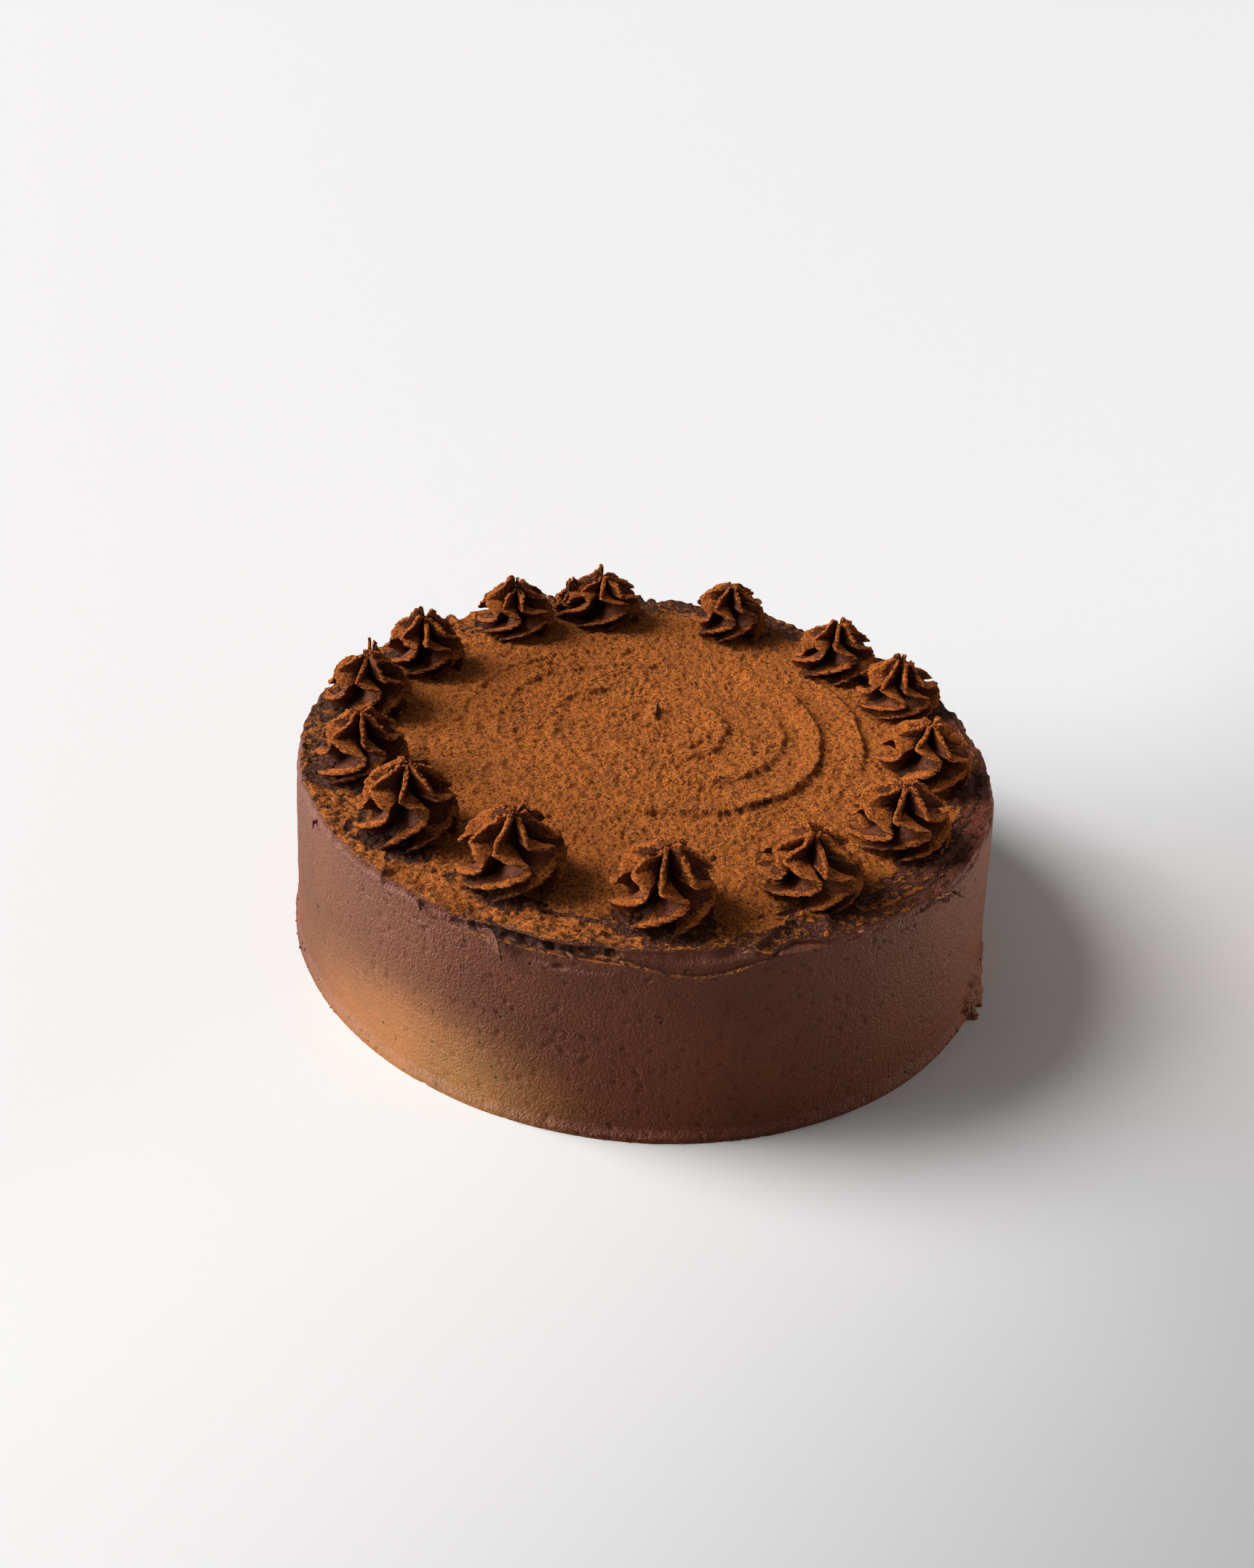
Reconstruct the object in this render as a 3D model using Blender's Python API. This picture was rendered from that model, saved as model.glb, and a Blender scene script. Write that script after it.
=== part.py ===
"""A round chocolate layer cake, frosted smooth and dusted with cocoa, with a ring of piped rosettes.

Metres, +Z up. The origin is the centre of the cake's flat base, and -Y is the front,
where the top layer of frosting has come away from the side above a small ledge.
"""

import math
import random

import bmesh
import bpy
from mathutils import Vector

# Driving dimensions of the frosted cake
FOOT_RADIUS = 0.1050  # the smear of frosting at the foot, the widest ring of the cake
WALL_FOOT_RADIUS = 0.1036  # the scraped wall, just above that smear
WALL_TOP_RADIUS = 0.1000  # the wall below the top edge
CAKE_HEIGHT = 0.0550  # the flat band that carries the rosettes
TOP_LEAN = Vector((-0.0023, 0.0007))  # how far the top layer sits off the base layer
SEGMENTS = 96  # sides of the turned body

# Top edge, and the shallow recess below it at the front
RIM_RISE = 0.0016  # the most that the ragged edge stands above the top
RIM_WAVE_COUNTS = (7, 11, 17, 26)  # waves around the edge that add up to its raggedness
RECESS_DEPTH = 0.0009
RECESS_ANGLES = (-113.0, -75.0)  # degrees, from its left end to its right end
LEDGE_HEIGHT = 0.0512  # the recess's lower edge
LEDGE_DIP = 0.0024  # how far the ledge dips at its lowest
LEDGE_DIP_ANGLE = -81.5
LEDGE_DIP_SPREAD = 5.0
TEAR_ANGLES = (-118.0, -92.0)  # the stretch where the top layer has split from the side
TEAR_HEIGHT = 0.0537
TEAR_DEPTH = 0.0026
CRUMB_ANGLE = -22.5  # degrees, a rough lump of frosting on the foot at the right
CRUMB_HALF_ANGLE = 4.5
CRUMB_HEIGHT = 0.0125

# Palette-knife spiral on the top
SWIRL_CENTRE = Vector((0.0035, 0.0080))
SWIRL_PITCH = 0.0125
SWIRL_DEPTH = 0.0009
SWIRL_RADIUS = 0.0580  # where it fades into the flat band
TOP_RING_STEP = 0.0038
PEAK_MARK = Vector((0.0010, 0.0190))  # the small peak that the knife left as it lifted
PEAK_RISE = 0.0014
PEAK_SPREAD = 0.0045

# Piped rosettes
RIB_COUNT = 7
ROSETTE_GAP = 0.0003  # between a rosette's flat foot and the top of the cake
RIM_THICKNESS = 0.0017
ROOT_THICKNESS = 0.0024
MOST_SPREAD = 0.40  # share of the space between two ribs that half a rib may take
FIRST_SWING = 0.45  # radians that each rib curls one way below the peak
LAST_SWING = 0.80  # radians that it sweeps back the other way at the foot
ROOT_SHARE = 0.35  # share of that swing that a rib's root takes
# From the peak to the foot: how far down a rib, then shares of height, rim radius, root radius
RIB_STATIONS = (
    (0.00, 1.000, 0.055, 0.030),
    (0.06, 0.985, 0.150, 0.045),
    (0.16, 0.945, 0.330, 0.075),
    (0.29, 0.880, 0.555, 0.130),
    (0.42, 0.755, 0.735, 0.175),
    (0.54, 0.610, 0.860, 0.230),
    (0.66, 0.455, 0.945, 0.300),
    (0.78, 0.300, 0.985, 0.390),
    (0.89, 0.150, 1.000, 0.480),
    (1.00, 0.000, 0.950, 0.550),
)
# Each rosette: its angle round the cake in degrees, its distance from the axis, its radius,
# its height, and how far its ribs are turned in degrees
ROSETTES = (
    (-85.8, 0.0808, 0.0140, 0.0178, 12.0),
    (-57.4, 0.0790, 0.0140, 0.0152, 30.0),
    (-30.6, 0.0792, 0.0144, 0.0152, 4.0),
    (-4.6, 0.0796, 0.0143, 0.0158, 41.0),
    (24.0, 0.0834, 0.0138, 0.0138, 22.0),
    (43.9, 0.0810, 0.0138, 0.0150, 9.0),
    (72.4, 0.0816, 0.0128, 0.0162, 35.0),
    (102.8, 0.0830, 0.0138, 0.0148, 17.0),
    (124.2, 0.0820, 0.0131, 0.0148, 46.0),
    (152.8, 0.0800, 0.0128, 0.0160, 26.0),
    (174.8, 0.0836, 0.0129, 0.0160, 8.0),
    (-160.3, 0.0826, 0.0133, 0.0166, 33.0),
    (-137.9, 0.0820, 0.0139, 0.0190, 20.0),
    (-114.0, 0.0788, 0.0143, 0.0178, 2.0),
)

# Colours, from dark ganache to the cocoa that lies on it
GANACHE_COLOUR = (0.088, 0.034, 0.024, 1.0)
COCOA_COLOUR = (0.250, 0.082, 0.018, 1.0)


def clear_scene():
    for scene_object in list(bpy.data.objects):
        bpy.data.objects.remove(scene_object, do_unlink=True)


def make_material(name, colour, roughness):
    material = bpy.data.materials.new(name)
    material.use_nodes = True
    shader = material.node_tree.nodes["Principled BSDF"]
    shader.inputs["Base Color"].default_value = colour
    shader.inputs["Roughness"].default_value = roughness
    shader.inputs["Metallic"].default_value = 0.0
    return material


def smooth_step(start, end, value):
    share = min(max((value - start) / (end - start), 0.0), 1.0)
    return share * share * (3.0 - 2.0 * share)


def between(angle, span, blend=5.0):
    """1 inside a span of degrees, falling to 0 over blend degrees at each end."""
    return smooth_step(span[0] - blend, span[0] + blend, angle) * (
        1.0 - smooth_step(span[1] - blend, span[1] + blend, angle)
    )


def waves(angle, counts, seed):
    """An uneven closed curve around the cake, from -1 to 1."""
    draw = random.Random(seed)
    total = sum(math.sin(count * angle + draw.uniform(0.0, math.tau)) for count in counts)
    return total / len(counts)


def cake_profile():
    """Half the section of the cake as (radius, height), from the base's centre to the top's centre."""
    profile = [
        (0.0, 0.0),
        (FOOT_RADIUS, 0.0),
        (FOOT_RADIUS, 0.0014),
        (WALL_FOOT_RADIUS, 0.0034),
        (0.1030, 0.0125),
        (0.1018, 0.0300),
        (0.1008, 0.0440),
        (0.1004, 0.0480),
        (0.1003, 0.0489),
        (0.1002, 0.0497),
        (0.1001, 0.0505),
        (WALL_TOP_RADIUS, 0.0513),
        (0.0998, 0.0527),
        (0.0995, 0.0537),
        (0.0990, 0.0546),
        (0.0978, CAKE_HEIGHT),
        (0.0956, CAKE_HEIGHT),
        (0.0780, CAKE_HEIGHT),
    ]
    ring = SWIRL_RADIUS + TOP_RING_STEP
    while ring > TOP_RING_STEP / 2:
        profile.append((ring, CAKE_HEIGHT))
        ring -= TOP_RING_STEP
    profile.append((0.0, CAKE_HEIGHT))
    return profile


def swirl_height(x, y):
    """The spiral furrow and the peak mark, as height above the flat top."""
    offset = Vector((x, y)) - SWIRL_CENTRE
    turn = offset.length / SWIRL_PITCH - math.atan2(offset.y, offset.x) / math.tau
    furrow = 0.5 - 0.5 * math.cos(math.tau * turn)
    fade = smooth_step(0.002, 0.010, offset.length) * (
        1.0 - smooth_step(SWIRL_RADIUS - 0.008, SWIRL_RADIUS, math.hypot(x, y))
    )
    away = (Vector((x, y)) - PEAK_MARK).length / PEAK_SPREAD
    return PEAK_RISE * math.exp(-away * away) - SWIRL_DEPTH * furrow * fade


def wall_offset(degrees, height):
    """How far the wall stands out from the turned shape: the recess, the tear and the crumb lump."""
    dip = (degrees - LEDGE_DIP_ANGLE) / LEDGE_DIP_SPREAD
    ledge = LEDGE_HEIGHT - LEDGE_DIP * math.exp(-dip * dip)
    recess = RECESS_DEPTH * between(degrees, RECESS_ANGLES) * smooth_step(ledge, ledge + 0.0009, height)
    near_gap = 1.0 - min(abs(height - TEAR_HEIGHT) / 0.0010, 1.0)
    tear = TEAR_DEPTH * between(degrees, TEAR_ANGLES) * near_gap
    span = (CRUMB_ANGLE - CRUMB_HALF_ANGLE, CRUMB_ANGLE + CRUMB_HALF_ANGLE)
    crumb_share = between(degrees, span, 2.0) * (1.0 - smooth_step(0.008, CRUMB_HEIGHT + 0.002, height))
    crumb = max(FOOT_RADIUS - WALL_FOOT_RADIUS - 0.0001, 0.0) * crumb_share if height > 0.002 else 0.0
    return crumb - recess - tear


def shape_cake_vertex(position):
    """Adds the relief to one point of the turned body, and leans it with the top layer."""
    radius = math.hypot(position.x, position.y)
    angle = math.atan2(position.y, position.x)
    degrees = math.degrees(angle)
    x, y, z = position
    on_wall = 0.003 < z and radius > WALL_TOP_RADIUS - 0.0012
    if on_wall:
        grown = radius + wall_offset(degrees, z)
        x, y = grown * math.cos(angle), grown * math.sin(angle)
    if z > TEAR_HEIGHT - 0.0005 and radius > 0.0970:
        z += RIM_RISE * (0.5 + 0.5 * waves(angle, RIM_WAVE_COUNTS, 11))
    if z > CAKE_HEIGHT - 0.0001 and radius < SWIRL_RADIUS:
        z += swirl_height(x, y)
    lean = min(z / CAKE_HEIGHT, 1.0)
    return Vector((x + TOP_LEAN.x * lean, y + TOP_LEAN.y * lean, z))


def build_cake(collection, material):
    shape = bmesh.new()
    points = [shape.verts.new((radius, 0.0, height)) for radius, height in cake_profile()]
    edges = [shape.edges.new(pair) for pair in zip(points, points[1:])]
    bmesh.ops.spin(
        shape,
        geom=points + edges,
        cent=(0.0, 0.0, 0.0),
        axis=(0.0, 0.0, 1.0),
        angle=math.tau,
        steps=SEGMENTS,
        use_merge=True,
    )
    bmesh.ops.remove_doubles(shape, verts=shape.verts, dist=1e-5)
    for vertex in shape.verts:
        vertex.co = shape_cake_vertex(vertex.co)
    bmesh.ops.recalc_face_normals(shape, faces=shape.faces)
    finish_object(shape, "cake", collection, material)


def rib_swing(share, shift):
    """The angle a rib's rim has turned by at a share of the way from peak to foot."""
    curl = FIRST_SWING * math.exp(-(((share - 0.56 - shift) / 0.15) ** 2))
    return curl - LAST_SWING * smooth_step(0.62 + shift, 1.0, share)


def slant(above, here, below, rib, radius, height):
    """How much wider a level cut through a rib is than the rib, where its rim runs sideways."""
    turned = rib["swing"] * (rib_swing(below[0], rib["shift"]) - rib_swing(above[0], rib["shift"]))
    sideways = abs(turned) * radius * here[2]
    drop = math.hypot(height * (above[1] - below[1]), radius * (above[2] - below[2]))
    return min(math.hypot(1.0, sideways / drop), 2.6)


def rosette_rings(radius, height, turn, seed):
    """Closed sections from the peak to the foot, each a list of points round the rosette.

    A rib has two points on its rim and two at its root, so four points a rib follow its curl.
    """
    draw = random.Random(seed)
    spacing = math.tau / RIB_COUNT
    ribs = [
        {
            "angle": turn + spacing * (index + draw.uniform(-0.09, 0.09)),
            "reach": draw.uniform(0.92, 1.00),
            "swing": draw.uniform(0.82, 1.12),
            "shift": draw.uniform(-0.03, 0.03),
        }
        for index in range(RIB_COUNT)
    ]
    rings = []
    last = len(RIB_STATIONS) - 1
    for index, here in enumerate(RIB_STATIONS):
        share, rise, rim_share, root_share = here
        above, below = RIB_STATIONS[max(index - 1, 0)], RIB_STATIONS[min(index + 1, last)]
        ring = []
        for rib in ribs:
            swing = rib["swing"] * rib_swing(share, rib["shift"])
            wider = slant(above, here, below, rib, radius, height)
            rim_radius = radius * rim_share * rib["reach"]
            root_radius = radius * root_share
            most = MOST_SPREAD * spacing
            rim_half = min(RIM_THICKNESS * wider / (2.0 * rim_radius), most)
            root_half = min(ROOT_THICKNESS * wider / (2.0 * root_radius), most)
            rim_angle = rib["angle"] + swing
            root_angle = rib["angle"] + ROOT_SHARE * swing
            for point_radius, point_angle in (
                (root_radius, root_angle - root_half),
                (rim_radius, rim_angle - rim_half),
                (rim_radius, rim_angle + rim_half),
                (root_radius, root_angle + root_half),
            ):
                ring.append((point_radius, point_angle, height * rise))
        rings.append(ring)
    return rings


def build_rosette(name, spec, collection, material, seed):
    angle_degrees, ring_radius, radius, height, turn = spec
    angle = math.radians(angle_degrees)
    centre = Vector(
        (
            ring_radius * math.cos(angle) + TOP_LEAN.x,
            ring_radius * math.sin(angle) + TOP_LEAN.y,
            CAKE_HEIGHT + ROSETTE_GAP,
        )
    )
    shape = bmesh.new()
    rings = []
    for ring in rosette_rings(radius, height, math.radians(turn), seed):
        points = [
            shape.verts.new((reach * math.cos(around), reach * math.sin(around), rise))
            for reach, around, rise in ring
        ]
        rings.append(points)
    for upper, lower in zip(rings, rings[1:]):
        for index in range(len(upper)):
            following = (index + 1) % len(upper)
            shape.faces.new((upper[index], lower[index], lower[following], upper[following]))
    shape.faces.new(rings[0])
    shape.faces.new(list(reversed(rings[-1])))
    bmesh.ops.triangulate(shape, faces=shape.faces)
    rosette = finish_object(shape, name, collection, material)
    rosette.location = centre


def finish_object(shape, name, collection, material):
    mesh = bpy.data.meshes.new(name)
    shape.to_mesh(mesh)
    shape.free()
    mesh.materials.append(material)
    mesh.shade_smooth()
    mesh.set_sharp_from_angle(angle=math.radians(50.0))
    made = bpy.data.objects.new(name, mesh)
    collection.objects.link(made)
    return made


def main():
    clear_scene()
    collection = bpy.data.collections.new("chocolate_cake")
    bpy.context.scene.collection.children.link(collection)
    frosting = make_material("cocoa_dusted_frosting", COCOA_COLOUR, 0.9)
    piped = make_material("piped_frosting", GANACHE_COLOUR, 0.55)
    build_cake(collection, frosting)
    for index, spec in enumerate(ROSETTES):
        build_rosette(f"rosette_{index + 1:02d}", spec, collection, piped, seed=40 + index)


main()
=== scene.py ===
"""The looks of the cocoa-dusted chocolate cake: frosting, piped rosettes, cocoa, light and camera.

Shapes are worked out in millimetres in the cake's own frame and become metres in make_piece.
Angles go anticlockwise seen from above, 0 along +X, with the front of the cake at -90.
"""

import math

import bmesh
import bpy
import numpy as np
from mathutils import Matrix, Vector


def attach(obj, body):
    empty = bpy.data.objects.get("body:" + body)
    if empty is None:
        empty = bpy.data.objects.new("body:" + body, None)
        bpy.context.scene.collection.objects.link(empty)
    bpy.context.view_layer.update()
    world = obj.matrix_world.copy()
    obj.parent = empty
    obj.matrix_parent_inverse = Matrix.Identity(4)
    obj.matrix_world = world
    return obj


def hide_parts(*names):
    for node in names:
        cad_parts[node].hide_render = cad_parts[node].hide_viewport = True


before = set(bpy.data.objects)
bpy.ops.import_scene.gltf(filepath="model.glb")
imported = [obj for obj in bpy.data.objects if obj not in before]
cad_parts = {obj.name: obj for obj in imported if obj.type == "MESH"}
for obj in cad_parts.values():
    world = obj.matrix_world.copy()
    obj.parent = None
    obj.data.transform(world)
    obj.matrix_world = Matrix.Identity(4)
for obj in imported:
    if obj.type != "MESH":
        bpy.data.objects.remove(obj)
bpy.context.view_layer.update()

MM = 0.001

# The cake body, as its solid has it
CAKE_HEIGHT = 55.0
TOP_LEAN = np.array([-2.3, 0.7])
WALL_HEIGHTS = (0.0, 1.4, 3.4, 12.5, 30.0, 44.0, 48.0, 51.0, 55.0)
WALL_RADII = (105.0, 105.0, 103.6, 103.0, 101.8, 100.8, 100.4, 100.0, 99.4)
FLAT_RADIUS = 86.0  # the fine-meshed edge starts here
SEAM_HEIGHT = 45.5  # where the edge piece meets the wall piece
RIM_RADIUS = 99.0  # about where the rim lies, for the noise that breaks it up
UNDER_TOP = 51.0  # hidden underside of the top piece
HALF_GRID = 150  # squares from the middle of the top to its seam
COLUMNS = 8 * HALF_GRID
FOOT_BAND = 6.0  # the rows of the wall lie closer below this height

# The edge of the top, by angle: its height, its radius, the ledge on the wall below it
EDGE_HEIGHTS = (
    (-147, 55.6), (-135, 55.2), (-125, 55.3), (-119, 54.6), (-116.5, 53.2), (-113, 54.8),
    (-105, 55.5), (-95, 55.4), (-89, 55.5), (-76, 55.7), (-73.4, 55.1), (-70.8, 53.9),
    (-69, 54.8), (-61, 54.8), (-55.7, 55.0), (-48, 54.5), (-40, 53.4), (-36, 53.9),
    (-30, 54.8), (-26, 54.2), (-15, 54.7), (10, 55.0), (60, 55.3), (80, 56.0), (100, 55.2),
    (140, 55.1), (170, 54.9), (195, 55.3),
)
EDGE_RADII = (
    (-125, 99.5), (-105, 99.2), (-101, 99.6), (-95, 98.2), (-91, 98.9), (-81, 98.0),
    (-76, 97.4), (-73.3, 99.2), (-71.3, 99.6), (-69, 98.2), (-67, 96.8), (-65, 97.4),
    (-61, 99.5), (-40, 99.3), (0, 99.5), (90, 99.3), (180, 99.4),
)
LEDGE_HEIGHTS = (
    (-125, 50.6), (-116, 50.9), (-111, 51.5), (-99, 51.6), (-90, 51.5), (-85.2, 49.3),
    (-81.3, 48.8), (-77.3, 49.6), (-73.3, 51.5), (-70.8, 52.6), (-66, 52.0), (-50, 50.4),
    (0, 50.0), (180, 50.0),
)
LEDGE_DEPTHS = (
    (-120, 0.0), (-116, 0.25), (-111, 0.8), (-90, 0.95), (-75, 0.9), (-72, 0.5), (-69, 0.0),
    (0, 0.0), (180, 0.0),
)
TEAR_DEPTHS = (
    (-118, 0.0), (-115.5, 1.2), (-110, 1.3), (-103, 1.9), (-97, 2.5), (-94, 2.2), (-91.5, 0.0),
    (0, 0.0), (180, 0.0),
)
TEAR_LOW, TEAR_HIGH = 51.8, 54.6  # the tear's inside lies between these heights
PATCH_HEIGHTS = ((-105, 49.2), (-101.4, 48.6), (-97, 48.2), (-93, 48.9), (-91, 50.4))
PATCH_STEP = 0.35  # the frosting below this line stands out by this much
HOLE_AT, HOLE_HEIGHT, HOLE_DEPTH = -100.2, 48.4, 1.3  # the small hole below the ledge
HOLE_HALF_DEGREES = 0.8
LUMP_AT = -22.5  # angle of the lump at the foot
STROKE_LENGTH = 12.0  # the knife's strokes on the wall, as a multiple of their height
# Right of the front: the raised curl's (angle, radius) points, and the lifted chunk beside it
CURL_LINE = ((-74.5, 98.6), (-71.3, 96.0), (-68.5, 93.2), (-65.2, 91.0), (-61.5, 91.4))
CHUNK_AT, CHUNK_HALF_SIZE, CHUNK_LIFT = (-62.0, 92.0), (4.2, 2.6), 1.5
THIN_COCOA = (  # share of the cocoa that is missing from the outer band, by angle
    (-125, 0.14), (-100, 0.24), (-70, 0.32), (-50, 0.50), (-30, 0.75), (0, 0.70), (60, 0.55),
    (120, 0.35), (170, 0.35), (-150, 0.30),
)
LEDGE_COCOA = (  # share of the cocoa that reached the ledge below the rim
    (-125, 0.3), (-100, 0.4), (-98, 1.0), (-91, 1.0), (-89, 0.0), (0, 0.0), (180, 0.0),
)

# The palette knife's ridges: how far each drops, how softly, and its (angle, radius) points
SWIRL_CENTRE = np.array([4.0, 6.0])
RIDGES = (
    (0.80, 0.55, ((-112, 42.5), (-90, 44), (-60, 45.2), (-20, 46.8), (20, 47.6), (60, 49.5), (80, 50.5))),
    (0.70, 0.60, ((-20, 58.5), (0, 59.5), (20, 61), (48, 63))),
    (0.45, 0.95, ((85, 52.3), (105, 53.5), (131, 57), (146, 59), (180, 60.5))),
    (0.60, 0.80, ((75, 40), (100, 41.8), (118, 43.5), (135, 46.5), (150, 49.6), (180, 49), (200, 48))),
    (0.55, 0.65, (
        (-75, 14.5), (-36, 16.6), (-3, 18.5), (41, 21.3), (94, 24), (127, 29.4), (160, 34.5), (185, 36),
    )),
    (0.45, 0.60, ((-100, 26.5), (-70, 28.5), (-37, 33), (0, 36), (35, 38.5))),
    (0.40, 0.50, ((-118, 11.5), (-75, 10.8), (-45, 10.5), (-10, 12.5), (20, 15))),
    (0.30, 0.90, ((100, 19), (135, 19.5), (172, 19))),
    (0.30, 0.80, ((-170, 52), (-140, 54), (-115, 55))),
    (0.25, 0.80, ((60, 60), (85, 63), (110, 66))),
)
RIDGE_GROWTH = 1.6
PEAK_LINE = ((2.0, 13.5), (2.4, 19.5))
PEAK_HEIGHTS = (0.7, 2.4)  # at the line's two ends
TOP_MARKS = (  # small pits and scratches: x, y, half length, half width, direction, depth
    (-43.8, 13.5, 8.5, 0.55, 88, 0.55), (-43.0, 9.8, 0.9, 0.7, 0, 0.6), (-20.3, -16.0, 2.1, 0.5, 58, 0.6),
    (-7.4, -22.8, 3.6, 0.4, 86, 0.5), (6.8, -20.4, 1.8, 0.5, -60, 0.6), (22.0, -18.6, 1.1, 0.5, 10, 0.5),
    (-6.0, 56.8, 1.6, 0.7, 20, 0.6), (15.0, 34.5, 0.8, 0.6, 0, 0.5), (59.5, 19.8, 0.8, 0.6, 0, 0.5),
    (-57.0, 7.5, 0.9, 0.7, 0, 0.6), (-32.5, -12.0, 0.6, 0.5, 0, 0.4),
)
CRACKS = (  # splits in the top that run beside the edge: depth and (angle, radius) points
    (0.9, ((-107, 87.4), (-101.7, 88.2), (-98.6, 88.9), (-92, 88.0))),
    (0.8, ((-78, 87.6), (-71.9, 86.9), (-67, 86.5), (-61.5, 86.8))),
    (0.7, ((-48, 92.5), (-44.5, 95.5), (-43.6, 99.0))),
)

# Piped rosettes: angle, distance from the axis, radius, height, turn of the ribs
ROSETTES = (
    (-85.8, 80.8, 14.0, 17.8, 12.0),
    (-57.4, 79.0, 14.0, 15.2, 30.0),
    (-30.6, 79.2, 14.4, 15.2, 4.0),
    (-4.6, 79.6, 14.3, 15.8, 41.0),
    (24.0, 83.4, 13.8, 13.8, 22.0),
    (43.9, 81.0, 13.8, 15.0, 9.0),
    (72.4, 81.6, 12.8, 16.2, 35.0),
    (102.8, 83.0, 13.8, 14.8, 17.0),
    (124.2, 82.0, 13.1, 14.8, 46.0),
    (152.8, 80.0, 12.8, 16.0, 26.0),
    (174.8, 83.6, 12.9, 16.0, 8.0),
    (-160.3, 82.6, 13.3, 16.6, 33.0),
    (-137.9, 82.0, 13.9, 19.0, 20.0),
    (-114.0, 78.8, 14.3, 17.8, 2.0),
)
TAILS = ((166.5, 87.0, 7.5, 9.5, 10.0), (109.6, 86.6, 6.5, 8.5, 40.0))  # where the nozzle let go
ROSETTE_GAP = 0.3
RIB_COUNT = 7
ROSETTE_ROWS = 128
RIB_SPACING = math.tau / RIB_COUNT
ROOT_THICKNESS, RIM_THICKNESS = 1.80, 1.05
WIDEST_RIB = 0.30  # half a rib's width at most, as a share of the spacing
WIDEST_ROOT = 0.40  # the same where it grows out of the core
HALF_ROOT = 0.98  # half a rib's thickness there, where nothing limits it
CORE_DIP = -2.2  # how far the core sinks between the ribs at the peak
# From the peak to the foot: how far down a rib, then shares of height, rim radius, root radius
RIB_STATIONS = np.array((
    (0.00, 1.000, 0.055, 0.025),
    (0.06, 0.985, 0.150, 0.035),
    (0.16, 0.945, 0.330, 0.050),
    (0.29, 0.880, 0.555, 0.070),
    (0.42, 0.755, 0.735, 0.090),
    (0.54, 0.610, 0.860, 0.120),
    (0.66, 0.455, 0.945, 0.160),
    (0.78, 0.300, 0.985, 0.220),
    (0.89, 0.150, 1.000, 0.320),
    (1.00, 0.000, 0.950, 0.450),
))

# Finishes, as linear colours: cocoa as body, pits painted dark as shade, clumps painted light as highlight;
# ganache as body, Deep, Pale
COCOA = ((0.630, 0.166, 0.0172), (0.140, 0.026, 0.003), (0.720, 0.250, 0.045))
GANACHE = ((0.106, 0.0235, 0.009), (0.080, 0.0165, 0.006), (0.220, 0.068, 0.030))
# The same cocoa painted darker on the rosettes, as painted shade against the light on their rims
PIPED_COCOA_PAINTED_DARKER = ((0.365, 0.093, 0.013), (0.085, 0.016, 0.003), (0.520, 0.170, 0.034))
PIPED_GANACHE = ((0.122, 0.030, 0.0078), (0.073, 0.0155, 0.0042), (0.205, 0.067, 0.019))
# Painted shade in the ganache's pores
PAINTED_PORE_SHADE = (0.012, 0.004, 0.003)
# Painted shade: the near-black blended into the tear's inside and the rosettes' pockets
PAINTED_HOLLOW_SHADE = (0.010, 0.003, 0.002)
SHEEN_TINT = (1.0, 0.86, 0.58)
COCOA_ROUGHNESS = 0.97
FLOOR_LIT, FLOOR_SHADED = (0.535, 0.537, 0.55), (0.210, 0.212, 0.225)
FLOOR_BOUNCE_NEAR, FLOOR_BOUNCE = (0.22, 0.13, 0.05), (0.50, 0.50, 0.51)  # near: the board's gold
CRUMB_SIZES = {"Density": 180000.0, "Smallest": 0.00014, "Largest": 0.00042}

# Lamps: name, kind, place, aim, strength, angle or size, colour
LAMPS = (
    ("key", "SUN", (-0.98, 0.20, 0.90), (0, 0, 0), 4.3, math.radians(28.0), (1.0, 0.985, 0.96)),
    ("low_key", "SUN", (-0.99, 0.02, 0.28), (0, 0, 0), 5.1, math.radians(45.0), (1.0, 0.97, 0.92)),
    ("front_left", "SUN", (-0.90, -0.42, 0.20), (0, 0, 0), 0.95, math.radians(30.0), (1.0, 0.92, 0.84)),
    ("warm_low", "SPOT", (-0.62, -0.78, 0.008), (-0.064, -0.084, 0.003), 115.0, math.radians(7.0),
     (0.8, 1.0, 0.4)),
    ("right_fill", "AREA", (0.32, -0.02, 0.03), (0.10, -0.02, 0.03), 0.045, 0.12, (1.0, 0.66, 0.45)),
)
SKY_COLOUR, SKY_STRENGTH = (0.95, 0.97, 1.0), 0.25

# The photograph's own viewpoint, in metres and degrees, with the lens of a 36 mm high frame
CAMERA_PLACE = (-0.0073, -0.3674, 0.2678)
CAMERA_DOWN, CAMERA_ROLL = 31.80, 4.68
CAMERA_LENS, FRAME_HEIGHT = 33.41, 36.0


def smooth_step(start, end, value):
    share = np.clip((value - start) / (end - start), 0.0, 1.0)
    return share * share * (3.0 - 2.0 * share)


# Random values at the corners of the noise's cells, and a tilt that hides their rows
LATTICE_SIZE = 64
LATTICE = np.random.default_rng(5).uniform(-1.0, 1.0, (LATTICE_SIZE,) * 3)
TILT = np.array(Matrix.Rotation(0.7, 3, Vector((0.4, 0.7, 0.5))))


def soft_noise(points, cell, seed):
    """Smooth noise from about -1 to 1, whose lumps are about one cell wide."""
    place = points @ TILT.T / cell + np.array([seed * 7.31, seed * 3.17, seed * 5.73])
    low = np.floor(place).astype(np.int64)
    share = place - low
    share = share * share * share * (share * (share * 6.0 - 15.0) + 10.0)
    total = 0.0
    for corner in range(8):
        step = np.array([corner & 1, corner >> 1 & 1, corner >> 2])
        index = (low + step) % LATTICE_SIZE
        weight = np.prod(np.where(step == 1, share, 1.0 - share), axis=-1)
        total = total + weight * LATTICE[index[..., 0], index[..., 1], index[..., 2]]
    return total * 1.6


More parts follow.
